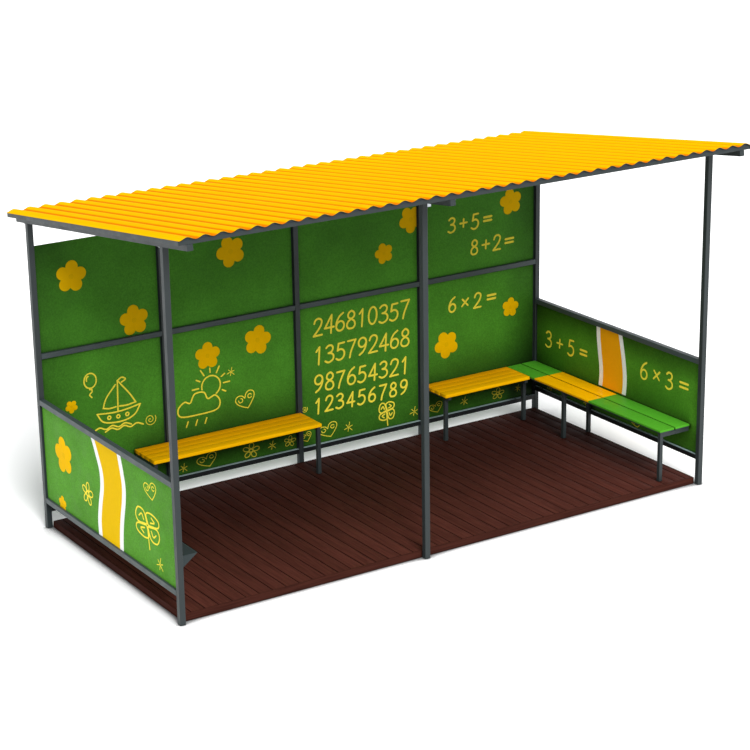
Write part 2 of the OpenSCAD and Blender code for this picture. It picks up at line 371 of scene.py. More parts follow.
def finish_node(name, material, radius=0.0):
    """Give a solid its material, and soften its edges by a radius."""
    node = NODES[name]
    node.data.materials.clear()
    node.data.materials.append(material)
    if radius:
        weld = node.modifiers.new("join corners", "WELD")
        weld.merge_threshold = 0.00002
        bevel = node.modifiers.new("soft edges", "BEVEL")
        bevel.width = radius
        bevel.segments = 3
        bevel.limit_method = "ANGLE"
        bevel.angle_limit = math.radians(40)
        bevel.harden_normals = True


def join_rings(bm, rings, loop=False, ends=True):
    """Skin over rings of points, which close in a loop or have a face on each end."""
    pairs = list(zip(rings, rings[1:]))
    if loop:
        pairs.append((rings[-1], rings[0]))
    count = len(rings[0])
    faces = []
    for first, second in pairs:
        for i in range(count):
            j = (i + 1) % count
            faces.append(bm.faces.new((first[i], first[j], second[j], second[i])))
    if ends and not loop:
        faces += [bm.faces.new(rings[0][::-1]), bm.faces.new(rings[-1])]
    return faces


def rounded_section(width, height, radius, steps=3):
    """Points round a rectangle with rounded corners, centred on zero."""
    points = []
    for corner, (x, y) in enumerate(((1, 1), (-1, 1), (-1, -1), (1, -1))):
        for i in range(steps + 1):
            turn = math.pi / 2 * (corner + i / steps)
            right = x * (width / 2 - radius) + radius * math.cos(turn)
            points.append((right, y * (height / 2 - radius) + radius * math.sin(turn)))
    return points


def add_bar(bm, low, high, axis, radius, tone=0.5):
    """Add a bar between two corners: long edges rounded, ends eased, with one tone."""
    low, high = Vector(low), Vector(high)
    middle, half = (low + high) / 2, (high - low) / 2
    across, upright = (k for k in range(3) if k != axis)
    layer = bm.verts.layers.float.get("tone") or bm.verts.layers.float.new("tone")
    ease = radius * 0.6
    rings = []
    for end, inset in ((-1, ease), (-1, 0.0), (1, 0.0), (1, ease)):
        ring = []
        step = half[axis] - (0.0 if inset else ease)
        for a, b in rounded_section(2 * (half[across] - inset), 2 * (half[upright] - inset), radius):
            point = middle.copy()
            point[axis] += end * step
            point[across] += a
            point[upright] += b
            vert = bm.verts.new(point)
            vert[layer] = tone
            ring.append(vert)
        rings.append(ring)
    return join_rings(bm, rings)


def add_bolt_head(bm, matrix, radius=0.007, height=0.005):
    """Add a hexagonal head with a chamfered top that stands on the matrix's XY plane."""
    rings = []
    for reach, z in ((radius, -0.2 * height), (radius, 0.65 * height), (0.75 * radius, height)):
        corners = circle(0, 0, reach, steps=6)[:-1]
        rings.append([bm.verts.new(matrix @ Vector((*corner, z))) for corner in corners])
    join_rings(bm, rings)


def roof_matrix():
    """The roof's own frame: origin at the rafter underside over the posts' front face."""
    front_low, front_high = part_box("post_front_left")
    back_low, back_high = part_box("post_back_left")
    slope = math.atan2(front_high.z - back_high.z, back_low.y - front_low.y)
    return Matrix.Translation((0, front_low.y, front_high.z)) @ Matrix.Rotation(-slope, 4, "X"), slope


# ---------------------------------------------------------------- drawing on the boards


def wall_faces():
    """Where each painted face lies: a matrix with X across, Y up and Z out of the board."""
    left_low, left_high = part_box("left_board")
    right_low, right_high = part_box("right_board")
    # the way across each face and a point on it
    plan = {
        "back_in": ((1, 0, 0), (0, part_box("back_board_1")[0].y, 0)),
        "left_out": ((0, -1, 0), (left_low.x, 0, 0)),
        "left_in": ((0, 1, 0), (left_high.x, 0, 0)),
        "right_in": ((0, -1, 0), (right_low.x, 0, 0)),
        "right_out": ((0, 1, 0), (right_high.x, 0, 0)),
    }
    up = Vector((0, 0, 1))
    faces = {}
    for name, (across, origin) in plan.items():
        across = Vector(across)
        turned = Matrix((across, up, across.cross(up))).transposed().to_4x4()
        faces[name] = Matrix.Translation(origin) @ turned
    return faces


def paint_walls(kind, plan, materials, lay):
    """Make one painted piece for each face in the plan; lay adds each of its rows."""
    faces = wall_faces()
    for name, rows in plan:
        bm = bmesh.new()
        for row in rows:
            lay(bm, faces[name], *row)
        make_piece(kind + "_" + name, bm, materials)


def curve_through(points, closed=False, steps=5):
    """Smooth line through the points; a closed one ends where it starts."""
    points = [Vector(p) for p in points]
    count = len(points)
    line = []
    for i in range(count if closed else count - 1):
        if closed:
            a, b, c, d = (points[(i + k) % count] for k in (-1, 0, 1, 2))
        else:
            b, c = points[i], points[i + 1]
            a = points[i - 1] if i else 2 * b - c
            d = points[i + 2] if i + 2 < count else 2 * c - b
        for k in range(steps):
            t = k / steps
            bend = (2 * a - 5 * b + 4 * c - d) * t * t + (3 * b - a - 3 * c + d) * t**3
            line.append(0.5 * (2 * b + (c - a) * t + bend))
    line.append(line[0] if closed else points[-1])
    return line


def circle(x, y, rx, ry=None, start=0.0, end=360.0, steps=20):
    """Points round a circle, an ellipse or an arc of one."""
    ry = rx if ry is None else ry
    turns = [math.radians(start + (end - start) * i / steps) for i in range(steps + 1)]
    return [Vector((x + rx * math.cos(a), y + ry * math.sin(a))) for a in turns]


def direction(angle):
    """The way that an angle in radians points."""
    return Vector((math.cos(angle), math.sin(angle)))


def add_stroke(bm, place, line, width, rise):
    """Lay one painted line with round ends: a low bead that follows the line on the board."""
    closed = len(line) > 3 and (line[0] - line[-1]).length < 1e-5
    if closed:
        line = line[:-1]
    count = len(line)
    spine = []
    for i, point in enumerate(line):
        before = line[i - 1] if (i or closed) else point
        after = line[(i + 1) % count] if (i < count - 1 or closed) else point
        spine.append((point, (after - before).normalized(), 1.0))
    if not closed:
        (head, head_way, _), (tail, tail_way, _) = spine[0], spine[-1]
        turns = [math.radians(a) for a in (78, 52, 26)]
        start = [(head - head_way * width / 2 * math.sin(a), head_way, math.cos(a)) for a in turns]
        stop = [(tail + tail_way * width / 2 * math.sin(a), tail_way, math.cos(a)) for a in turns]
        spine = start + spine + stop[::-1]
    section = [math.radians(a) for a in (0, 50, 90, 130, 180)]
    rings = []
    for point, ahead, share in spine:
        side = Vector((-ahead.y, ahead.x)) * (width / 2 * share)
        spots = [(*(point + side * math.cos(a)), rise * (math.sin(a) * share - 0.25)) for a in section]
        rings.append([bm.verts.new(place @ Vector(spot)) for spot in spots])
    join_rings(bm, rings, loop=closed)


# the strokes of each sign on a field one unit high: an oval, a straight line or a curve
DIGITS = {
    "0": (("oval", 0.3, 0.5, 0.27, 0.5),),
    "1": (("line", (0.14, 0.76), (0.34, 1.0)), ("line", (0.34, 1.0), (0.32, 0.0))),
    "2": (
        ("curve", (0.05, 0.74), (0.13, 0.93), (0.31, 1.0), (0.49, 0.92), (0.54, 0.74), (0.43, 0.48),
         (0.2, 0.2), (0.03, 0.01)),
        ("line", (0.03, 0.01), (0.58, 0.03)),
    ),
    "3": (
        ("curve", (0.06, 0.87), (0.2, 0.98), (0.38, 0.98), (0.5, 0.86), (0.49, 0.7), (0.38, 0.58),
         (0.22, 0.54)),
        ("curve", (0.22, 0.54), (0.43, 0.5), (0.56, 0.36), (0.55, 0.17), (0.41, 0.04), (0.21, 0.0),
         (0.03, 0.09)),
    ),
    "4": (
        ("line", (0.43, 0.0), (0.44, 1.0)),
        ("line", (0.44, 1.0), (0.03, 0.31)),
        ("line", (0.03, 0.31), (0.6, 0.32)),
    ),
    "5": (
        ("line", (0.52, 1.0), (0.15, 0.98)),
        ("line", (0.15, 0.98), (0.1, 0.57)),
        ("curve", (0.1, 0.57), (0.27, 0.63), (0.45, 0.58), (0.56, 0.41), (0.54, 0.2), (0.4, 0.04),
         (0.2, 0.0), (0.03, 0.09)),
    ),
    "6": (
        ("curve", (0.47, 0.98), (0.25, 0.83), (0.1, 0.58), (0.05, 0.32), (0.11, 0.1), (0.28, 0.0),
         (0.47, 0.06), (0.56, 0.25), (0.5, 0.45), (0.32, 0.54), (0.14, 0.46), (0.06, 0.3)),
    ),
    "7": (
        ("line", (0.04, 0.98), (0.56, 1.0)),
        ("curve", (0.56, 1.0), (0.38, 0.6), (0.26, 0.3), (0.2, 0.0)),
    ),
    "8": (
        ("closed", (0.3, 0.54), (0.12, 0.66), (0.11, 0.86), (0.3, 1.0), (0.49, 0.86), (0.48, 0.66),
         (0.3, 0.54), (0.1, 0.4), (0.04, 0.2), (0.13, 0.04), (0.3, 0.0), (0.47, 0.04), (0.56, 0.2),
         (0.5, 0.4)),
    ),
    "9": (
        ("curve", (0.13, 0.02), (0.35, 0.17), (0.5, 0.42), (0.55, 0.68), (0.49, 0.9), (0.32, 1.0),
         (0.13, 0.94), (0.04, 0.75), (0.1, 0.55), (0.28, 0.46), (0.46, 0.54), (0.54, 0.7)),
    ),
    "+": (("line", (0.03, 0.5), (0.57, 0.52)), ("line", (0.3, 0.24), (0.3, 0.77))),
    "x": (("line", (0.07, 0.26), (0.55, 0.74)), ("line", (0.08, 0.73), (0.54, 0.27))),
    "=": (("line", (0.1, 0.38), (0.72, 0.39)), ("line", (0.1, 0.64), (0.72, 0.65))),
}


def digit_lines(sign, x, y, height):
    """The lines of one digit or sign that leans a little, its foot at x, y."""
    lean = 0.06
    lines = []
    for kind, *points in DIGITS[sign]:
        if kind == "oval":
            line = circle(*points)
        elif kind == "line":
            line = [Vector(p) for p in points]
        else:
            line = curve_through(points, closed=kind == "closed")
        lines.append([Vector((x + (p.x + lean * p.y) * height, y + p.y * height)) for p in line])
    return lines


def flower_outline(petals, radius, turn, steps=90):
    """Outline of round petals that meet in the middle."""
    petal = radius * 0.4
    reach = radius - petal
    points = []
    for i in range(steps):
        angle = 2 * math.pi * i / steps
        best = petal
        for k in range(petals):
            gap = angle - turn - 2 * math.pi * k / petals
            across = reach * math.sin(gap)
            if math.cos(gap) > 0 and abs(across) < petal:
                best = max(best, reach * math.cos(gap) + math.sqrt(petal**2 - across**2))
        points.append(direction(angle) * best)
    return points


def add_patch(bm, place, outline, rise):
    """Add a filled painted shape whose outline can be seen whole from zero; returns its faces."""
    rings = []
    for share, height in ((1.0, -0.3 * rise), (1.0, 0.6 * rise), (0.985, rise)):
        rings.append([bm.verts.new(place @ Vector((*(p * share), height))) for p in outline])
    faces = join_rings(bm, rings, ends=False)
    top, base = (bm.verts.new(place @ Vector((0, 0, height))) for height in (rise, -0.3 * rise))
    count = len(outline)
    for i in range(count):
        j = (i + 1) % count
        faces.append(bm.faces.new((rings[-1][i], rings[-1][j], top)))
        faces.append(bm.faces.new((rings[0][j], rings[0][i], base)))
    return faces


# Each drawing is a list of lines on a field about one unit across, with zero near its middle.


def heart_lines():
    """A leaning heart with two curls inside."""
    left = (0.02, -0.46), (-0.3, -0.24), (-0.55, 0.02), (-0.6, 0.26), (-0.42, 0.42), (-0.16, 0.36)
    left += ((-0.02, 0.16),)
    right = (-0.02, 0.16), (0.12, 0.4), (0.36, 0.48), (0.58, 0.34), (0.56, 0.08), (0.32, -0.2)
    right += ((0.02, -0.46),)
    lines = [curve_through(left), curve_through(right)]
    lines += [circle(-0.3, 0.13, 0.13, 0.12, 160, 430, 10), circle(0.3, 0.17, 0.12, 0.12, 20, 320, 10)]
    lean = Matrix.Rotation(0.25, 2)
    return [[lean @ p for p in line] for line in lines]


def star_lines():
    """A small star of crossing strokes."""
    rays = 6
    lines = []
    for k in range(rays):
        ahead = direction(0.3 + 2 * math.pi * k / rays)
        lines.append([ahead * 0.07, ahead * (0.5 if k % 2 else 0.4)])
    return lines


def open_flower_lines():
    """An outline flower with a round middle."""
    petals = 5
    lines = [circle(0, 0, 0.1, steps=12)]
    oval = circle(0.31, 0, 0.19, 0.135, 180, 540, 14)
    for k in range(petals):
        turned = Matrix.Rotation(0.2 + 2 * math.pi * k / petals, 2)
        lines.append([turned @ p for p in oval])
    return lines


def pinwheel_lines():
    """A toy windmill: four curled vanes on a stick."""
    hub = Vector((0, 0.12))
    lines = [circle(*hub, 0.045, steps=10), curve_through(((0, 0.06), (0.015, -0.2), (0.04, -0.52)))]
    vane = (0.05, 0.0), (0.36, 0.02), (0.42, 0.2), (0.22, 0.34), (0.04, 0.3), (0.03, 0.06)
    fold = (0.13, 0.09), (0.27, 0.12), (0.2, 0.23)
    for k in range(4):
        turned = Matrix.Rotation(math.pi / 2 * k + 0.25, 2)
        for line in (vane, fold):
            lines.append([turned @ p + hub for p in curve_through(line)])
    return lines


def boat_lines():
    """A sailing boat on two waves."""
    top, bow, stern = (0.02, 0.5), (-0.46, -0.12), (0.5, -0.08)
    curves = [
        (bow, (-0.34, -0.3), (-0.1, -0.36), (0.18, -0.35), (0.38, -0.26), stern),
        (bow, (-0.1, -0.15), (0.2, -0.13), stern),
        (top, (0.26, 0.2), (0.4, -0.02)),
        ((0.4, -0.02), (0.2, -0.05), (0.04, -0.04)),
        ((-0.03, 0.42), (-0.24, 0.18), (-0.32, -0.02)),
        ((-0.32, -0.02), (-0.18, -0.05), (-0.04, -0.04)),
        (top, (0.12, 0.55), (0.2, 0.5), (0.11, 0.45)),
    ]
    for start in (-0.56, -0.3):
        level = -0.45 - 0.2 * (start + 0.56)
        wave = [(start + 0.14 * k, level + (0.035 if k % 2 else -0.02)) for k in range(7)]
        curves.append(wave)
    lines = [curve_through(points) for points in curves]
    lines.append([Vector((0.0, -0.14)), Vector(top)])
    lines += [circle(x, y, 0.035, steps=10) for x, y in ((-0.2, -0.24), (0.0, -0.25), (0.2, -0.24))]
    return lines


def sun_lines():
    """A round sun with rays, half behind a cloud."""
    cloud = (-0.5, -0.34), (-0.56, -0.18), (-0.42, -0.06), (-0.3, -0.1), (-0.2, 0.06), (0.0, 0.06)
    cloud += (0.08, -0.08), (0.24, -0.04), (0.34, -0.18), (0.26, -0.33), (-0.1, -0.36)
    sun = Vector((0.16, 0.16))
    lines = [curve_through(cloud, closed=True), circle(*sun, 0.2, 0.2, -58, 192, 18)]
    for k in range(8):
        ahead = direction(math.radians(-28 + 30 * k))
        lines.append([sun + ahead * 0.27, sun + ahead * (0.4 if k % 2 else 0.35)])
    for k in range(3):
        lines.append([Vector((-0.36 + 0.2 * k, -0.46)), Vector((-0.4 + 0.2 * k, -0.56))])
    return lines


def balloon_lines():
    """A balloon on a curling string."""
    return [
        circle(0, 0.18, 0.26, 0.3, steps=22),
        [Vector((-0.04, -0.17)), Vector((0.05, -0.17))],
        curve_through(((0, -0.13), (0.06, -0.26), (-0.05, -0.38), (0.03, -0.5))),
        circle(-0.06, 0.24, 0.1, 0.13, 100, 200, 8),
    ]


def swirl_lines():
    """A small spiral."""
    last = 29
    return [[direction(0.45 * i) * (0.5 * i / last) for i in range(2, last + 1)]]


# ---------------------------------------------------------------- operators


class PavilionOperator:
    """What the pavilion's operators share."""

    bl_options = {"REGISTER", "UNDO"}

    def execute(self, context):
        self.build(context.scene.pavilion_sizes, context.scene.pavilion_colours)
        return {"FINISHED"}


class PAVILION_OT_frame(PavilionOperator, bpy.types.Operator):
    """Finish the posts, beams, rails, bench frames and tray as powder-coated steel"""

    bl_idname = "pavilion.frame"
    bl_label = "Steel frame"

    def build(self, sizes, colours):
        steel = powder_coated_steel("powder coated steel tube", colours.steel)
        for name in POSTS:
            finish_node(name, steel)
        for name in BEAMS + BENCH_FRAMES:
            finish_node(name, steel, sizes.tube_radius)
        # painted light: the rails in a lighter copy of the frame's steel
        painted_light = powder_coated_steel("powder coated rail", shade(colours.steel, 2.0))
        for name in RAILS:
            finish_node(name, painted_light, sizes.tube_radius)
        # the rails near the ground: face much darker, top edge pale as a painted highlight
        for name in ("back_low_rails", "right_low_rail"):
            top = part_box(name)[1].z
            painted_highlight = powder_coated_steel("splashed steel " + name, colours.steel, highlight_top=top)
            NODES[name].data.materials[0] = painted_highlight
        # painted light: the tray in a lighter copy of the frame's steel
        tray = powder_coated_steel("powder coated folded sheet", shade(colours.steel, 1.35), 0.15)
        finish_node("wall_tray", tray, sizes.tray_radius)


class PAVILION_OT_boards(PavilionOperator, bpy.types.Operator):
    """Paint the wall boards"""

    bl_idname = "pavilion.boards"
    bl_label = "Wall boards"

    # painted shade: the paint is darker near the ground, under the roof and in the corners, and on the right
    # wall under its top rail and under the bench: the way it darkens, in metres from where to where, and the
    # share that is left there
    back_shade_bands = (("up", 1.0, 0.3, 0.52), ("up", 1.45, 2.05, 0.74), ("aside", 1.8, 2.18, 0.5))
    right_shade_bands = (("up", 0.72, 0.93, 0.45), ("up", 0.47, 0.32, 0.62))

    def build(self, sizes, colours):
        back = painted_panel("painted plywood back wall", colours.board_back, self.back_shade_bands)
        for name in BACK_BOARDS:
            finish_node(name, back)
        finish_node("left_board", painted_panel("painted plywood left wall", colours.board_side))
        right = painted_panel("painted plywood right wall", colours.board_side, self.right_shade_bands)
        finish_node("right_board", right)


class PAVILION_OT_shade_seals(PavilionOperator, bpy.types.Operator):
    """Lay the dark rubber seals along the wall boards, strips that stand in for the shade at their edges"""

    bl_idname = "pavilion.seals"
    bl_label = "Seals"

    def build(self, sizes, colours):
        # the seals are dark strips that stand in for the shade along the board edges and under the middle
        # rail
        rubber = moulded_rubber("extruded rubber profile", colours.rubber)
        # how far a seal stands off the board and reaches into it, and the rounding of its edges
        proud, sunk, soft = 0.003, 0.001, 0.001
        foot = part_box("back_low_rails")[1].z
        middle_low, middle_high = (corner.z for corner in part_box("back_middle_rails"))
        wide = sizes.shade_seal_width
        for name in BACK_BOARDS:
            low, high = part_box(name)
            front, rear = low.y - proud, low.y + sunk
            bm = bmesh.new()
            for x in (low.x, high.x - wide):
                for bottom, top in ((foot, middle_low), (middle_high, high.z)):
                    add_bar(bm, (x, front, bottom), (x + wide, rear, top), 2, soft)
            left, right = low.x + wide, high.x - wide
            add_bar(bm, (left, front, middle_low - wide), (right, rear, middle_low), 0, soft)
            make_piece(name + "_seal", bm, [rubber])
        wide = sizes.side_shade_seal
        for name in SIDE_BOARDS:
            low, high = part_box(name)
            bm = bmesh.new()
            for left, right in ((low.x - proud, low.x + sunk), (high.x - sunk, high.x + proud)):
                for y in (low.y, high.y - wide):
                    add_bar(bm, (left, y, low.z), (right, y + wide, high.z), 2, soft)
                start, stop = (left, low.y + wide, high.z - wide), (right, high.y - wide, high.z)
                add_bar(bm, start, stop, 1, soft)
            make_piece(name + "_seal", bm, [rubber])


class PAVILION_OT_roof(PavilionOperator, bpy.types.Operator):
    """Lay the corrugated roof sheet with its foam closures and side trims"""

    bl_idname = "pavilion.roof"
    bl_label = "Corrugated roof"

    def build(self, sizes, colours):
        place, slope = roof_matrix()
        low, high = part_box("roof_sheet")
        rafter_low, rafter_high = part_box("rafter_left")
        tube = rafter_high.x - rafter_low.x
        base = tube + sizes.purlin_height
        crown = base + sizes.wave_height + sizes.sheet_thickness
        start = (low.y - place.translation.y - base * math.sin(slope)) / math.cos(slope)
        stop = (high.y - place.translation.y - crown * math.sin(slope)) / math.cos(slope)
        middle = base + sizes.wave_height / 2
        self.sheet(sizes, colours, place, low, high, start, stop, middle)
        self.closures(sizes, colours, place, low, high, base, middle)
        self.verges(sizes, colours, place, start, stop, tube, base)

    def sheet(self, sizes, colours, place, low, high, start, stop, middle):
        """The waved sheet, coloured above and grey below."""
        per_wave = 20
        count = sizes.waves * per_wave
        # painted shade in the valleys: radians of a wave from the middle of its valley, where the deep
        # colour ends, and how softly
        reach, soft = 1.55, 0.55
        bm = bmesh.new()
        layer = bm.verts.layers.float.new("valley")
        rings = []
        for i in range(count + 1):
            turn = 2 * math.pi * i / per_wave
            x = low.x + (high.x - low.x) * i / count
            under = middle - sizes.wave_height / 2 * math.cos(turn)
            top = under + sizes.sheet_thickness
            off = abs((turn + math.pi) % (2 * math.pi) - math.pi)
            inside = per_wave / 2 < i < count - per_wave / 2
            ring = []
            for y, z in ((start, under), (start, top), (stop, top), (stop, under)):
                vert = bm.verts.new(place @ Vector((x, y, z)))
                vert[layer] = min(1.0, max(0.0, (reach - off) / soft)) if inside else 0.0
                ring.append(vert)
            rings.append(ring)
        # the last of every four sides lies underneath; the two end faces come after the sides
        for face in join_rings(bm, rings)[3:-2:4]:
            face.material_index = 1
        coat = coil_coated_sheet("coil coated corrugated steel", colours.roof)
        back = powder_coated_steel("primer back coat", colours.roof_back)
        sheet = make_piece("roof_waves", bm, [coat, back])
        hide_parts("roof_sheet")

    def closures(self, sizes, colours, place, low, high, base, middle):
        """Foam strips that fill the waves over the first and last purlin."""
        foam = moulded_rubber("closed cell foam filler", colours.foam)
        # how far the foam keeps inside the roof's edges and below the sheet, and its least height
        inset, clear, least = 0.006, 0.0003, 0.0004
        turned = place.inverted()
        steps = sizes.waves * 12
        for name, in_front in (("purlin_front", True), ("purlin_back", False)):
            box_low, box_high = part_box(name)
            if in_front:
                start = (turned @ Vector((0, box_low.y, box_high.z))).y + inset
            else:
                far = (turned @ Vector((0, box_high.y, box_low.z))).y
                start = far - inset - sizes.closure_width
            stop = start + sizes.closure_width
            bm = bmesh.new()
            rings = []
            for i in range(steps + 1):
                x = low.x + inset + (high.x - low.x - 2 * inset) * i / steps
                turn = 2 * math.pi * sizes.waves * (x - low.x) / (high.x - low.x)
                top = max(middle - sizes.wave_height / 2 * math.cos(turn) - clear, base + least)
                corners = ((start, base), (stop, base), (stop, top), (start, top))
                rings.append([bm.verts.new(place @ Vector((x, y, z))) for y, z in corners])
            join_rings(bm, rings)
            make_piece("roof_closure_" + name[7:], bm, [foam])

    def verges(self, sizes, colours, place, start, stop, tube, base):
        """Flat steel trims on the purlin ends, under the two sloping edges of the sheet."""
        steel = powder_coated_steel("powder coated flat trim", colours.steel)
        inset, clear = 0.012, 0.0005
        left_end, right_end = (corner.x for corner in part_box("purlin_front"))
        bm = bmesh.new()
        for x in (left_end - sizes.plate_thickness, right_end):
            foot = (x, start + inset, tube)
            head = (x + sizes.plate_thickness, stop - inset, base - clear)
            add_bar(bm, foot, head, 1, PLATE_EDGE)
        bmesh.ops.transform(bm, matrix=place, verts=bm.verts)
        make_piece("roof_verge_trims", bm, [steel])


class PAVILION_OT_benches(PavilionOperator, bpy.types.Operator):
    """Lay the slats and planks of the benches"""

    bl_idname = "pavilion.benches"
    bl_label = "Bench slats and planks"

    def build(self, sizes, colours):
        draw = random.Random(7)
        self.slats(sizes, colours, draw)
        self.planks(sizes, colours, draw)

    def slats(self, sizes, colours, draw):
        """Four yellow slats along each of the two benches at the back."""
        yellow = enamelled_wood("yellow enamel on pine slats", colours.slat_yellow, "X")
        count = 4
        for name in ("left_bench_seat", "right_bench_seat"):
            low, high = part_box(name)
            width = (high.y - low.y - (count - 1) * sizes.slat_gap) / count
            bm = bmesh.new()
            for i in range(count):
                y = low.y + i * (width + sizes.slat_gap)
                # the slats are darker and more orange towards the back, the front one the brightest
                frontness = 1.0 - (i + 0.3 * draw.random()) / count
                add_bar(bm, (low.x, y, low.z), (high.x, y + width, high.z), 0, sizes.edge_radius, frontness)
            piece = make_piece(name.replace("_seat", "_slats"), bm, [yellow])
            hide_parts(name)

    def planks(self, sizes, colours, draw):
        """Two planks on flat steel bearers in each length of the side bench."""
        bright = shade(colours.slat_yellow, (1.0, 1.05, 1.0))
        yellow = enamelled_wood("yellow enamel on pine planks", bright, "Y")
        green = enamelled_wood("green enamel on pine planks", colours.slat_green, "Y")
        steel = powder_coated_steel("powder coated bearer", colours.steel)
        # what a plank stays short of the next length, and a bearer of its plank's edges
        joint, inset = 0.0008, 0.003
        soft = sizes.edge_radius
        plan = (
            ("side_bench_front", green, "seat_green"),
            ("side_bench_middle", yellow, "seat_yellow"),
            ("side_bench_back", green, "seat_green"),
        )
        for name, enamel, slot_name in plan:
            low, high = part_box(name)
            width = (high.x - low.x - sizes.plank_gap) / 2
            near, far, under = low.y + joint, high.y - joint, high.z - sizes.plank_thickness
            bm = bmesh.new()
            for x in (low.x, high.x - width):
                tone = draw.uniform(0.7, 1.0)
                add_bar(bm, (x, near, under), (x + width, far, high.z), 1, soft, tone)
                left, right = x + inset, x + width - inset
                for face in add_bar(bm, (left, near, low.z), (right, far, under), 1, soft):
                    face.material_index = 1
            piece = make_piece(name + "_planks", bm, [enamel, steel])
            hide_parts(name)


class PAVILION_OT_deck(PavilionOperator, bpy.types.Operator):
    """Lay the deck boards"""

    bl_idname = "pavilion.deck"
    bl_label = "Board deck"

    def build(self, sizes, colours):
        draw = random.Random(11)
        low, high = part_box("deck_boards")
        stain = stained_board("brown stained decking", colours.deck)
        half_seam = sizes.board_seam / 2
        full = int((high.x - low.x) / sizes.board_pitch)
        rest = (high.x - low.x - full * sizes.board_pitch) / 2
        joints = [low.x + rest + k * sizes.board_pitch for k in range(full + 1)]
        if rest > sizes.board_seam:
            joints = [low.x - half_seam] + joints + [high.x + half_seam]
        bm = bmesh.new()
        for left, right in zip(joints, joints[1:]):
            start, stop = (left + half_seam, low.y, low.z), (right - half_seam, high.y, high.z)
            add_bar(bm, start, stop, 1, sizes.board_radius, draw.random())
        deck = make_piece("deck_planking", bm, [stain])
        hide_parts("deck_boards")
        edge = stained_board("brown stained edge board", colours.deck_edge, "X")
        finish_node("deck_edge", edge, sizes.edge_board_radius)
        finish_node("deck_joists", edge)


class PAVILION_OT_stripes(PavilionOperator, bpy.types.Operator):
    """Paint the wavy stripes of the side walls"""

    bl_idname = "pavilion.stripes"
    bl_label = "Wavy stripes"

    # height, rear edge and front edge of the coloured band, top to foot
    left_band = (
        (0.957, 0.235, -0.113), (0.85, 0.175, -0.145), (0.735, 0.122, -0.170), (0.62, 0.119, -0.159),
        (0.475, 0.160, -0.121), (0.35, 0.186, -0.098), (0.24, 0.184, -0.089),
    )
    right_band = (
        (0.957, 0.256, 0.028), (0.86, 0.250, 0.004), (0.75, 0.233, -0.020), (0.64, 0.214, -0.036),
        (0.55, 0.210, -0.038), (0.47, 0.218, -0.030),
    )
    # the outer face has no bench before it, so the band runs on to the foot of the board
    right_foot = ((0.36, 0.236, -0.014), (0.24, 0.250, 0.004))

    def build(self, sizes, colours):
        left = brushed_paint("yellow acrylic stripe", colours.stripe_left, shade_corners=False)
        right = brushed_paint("orange acrylic stripe", colours.stripe_right, shade_corners=False)
        white = brushed_paint("white acrylic border", colours.border, shade_corners=False)
        right_out = self.right_band + self.right_foot
        for name, band, turn, border, paint in (
            ("left_out", self.left_band, -1, sizes.left_border, left),
            ("left_in", self.left_band, 1, sizes.left_border, left),
            ("right_in", self.right_band, -1, sizes.right_border, right),
            ("right_out", right_out, 1, sizes.right_border, right),
        ):
            rear = curve_through([(y * turn, up) for up, y, _ in band], steps=8)
            front = curve_through([(y * turn, up) for up, _, y in band], steps=8)
            aside = Vector((border * turn, 0.0))
            outer_rear, outer_front = [p + aside for p in rear], [p - aside for p in front]
            rows = (rear, front, 0), (outer_rear, rear, 1), (front, outer_front, 1)
            rows = [(*row, sizes.paint_rise) for row in rows]
            paint_walls("stripe", [(name, rows)], [paint, white], self.lay)

    def lay(self, bm, place, first, second, index, rise):
        """Fill the board between two lines with one paint."""
        rings = []
        for a, b in zip(first, second):
            corners = ((a, -0.3), (b, -0.3), (b, 0.5), (a, 0.5))
            rings.append([bm.verts.new(place @ Vector((*p, depth * rise))) for p, depth in corners])
        for face in join_rings(bm, rings):
            face.material_index = index


class PAVILION_OT_flowers(PavilionOperator, bpy.types.Operator):
    """Paint the solid flowers on the boards"""

    bl_idname = "pavilion.flowers"
    bl_label = "Solid flowers"

    # face, then across, up, radius and turn of each flower
    plan = (
        ("back_in", (
            (-1.93, 1.86, 0.120, 0.2), (-1.45, 1.45, 0.118, 0.4), (-1.99, 0.885, 0.050, 0.9),
            (-0.625, 1.84, 0.122, 0.7), (-0.855, 1.065, 0.108, 0.3), (-0.42, 1.11, 0.118, 0.1),
            (0.74, 1.61, 0.085, 0.6), (0.995, 1.845, 0.110, 0.9), (1.97, 1.85, 0.109, 0.5),
            (1.97, 0.96, 0.083, 0.2), (1.33, 0.755, 0.116, 0.8),
        )),
        ("left_out", ((-0.76, 0.665, 0.140, 0.5), (-0.83, 0.275, 0.062, 0.3))),
        ("left_in", ((-0.62, 0.70, 0.105, 0.3), (0.66, 0.60, 0.120, 0.8), (0.38, 0.35, 0.060, 0.1))),
        ("right_out", ((-0.60, 0.66, 0.120, 0.6), (0.62, 0.72, 0.100, 0.2), (0.45, 0.38, 0.060, 0.9))),
    )

    def build(self, sizes, colours):
        paint = brushed_paint("orange yellow acrylic", colours.flower)
        core = brushed_paint("orange acrylic", shade(colours.flower, 0.93))
        rise = sizes.paint_rise
        # the core lies on the petals, as a second coat
        second_coat = Matrix.Translation((0, 0, 0.7 * rise))

        def lay(bm, face, x, y, radius, turn):
            spot = face @ Matrix.Translation((x, y, 0))
            add_patch(bm, spot, flower_outline(5, radius, turn), rise)
            ring = circle(0, 0, radius * 0.15, steps=16)[:-1]
            for part in add_patch(bm, spot @ second_coat, ring, rise):
                part.material_index = 1

        paint_walls("flowers", self.plan, [paint, core], lay)


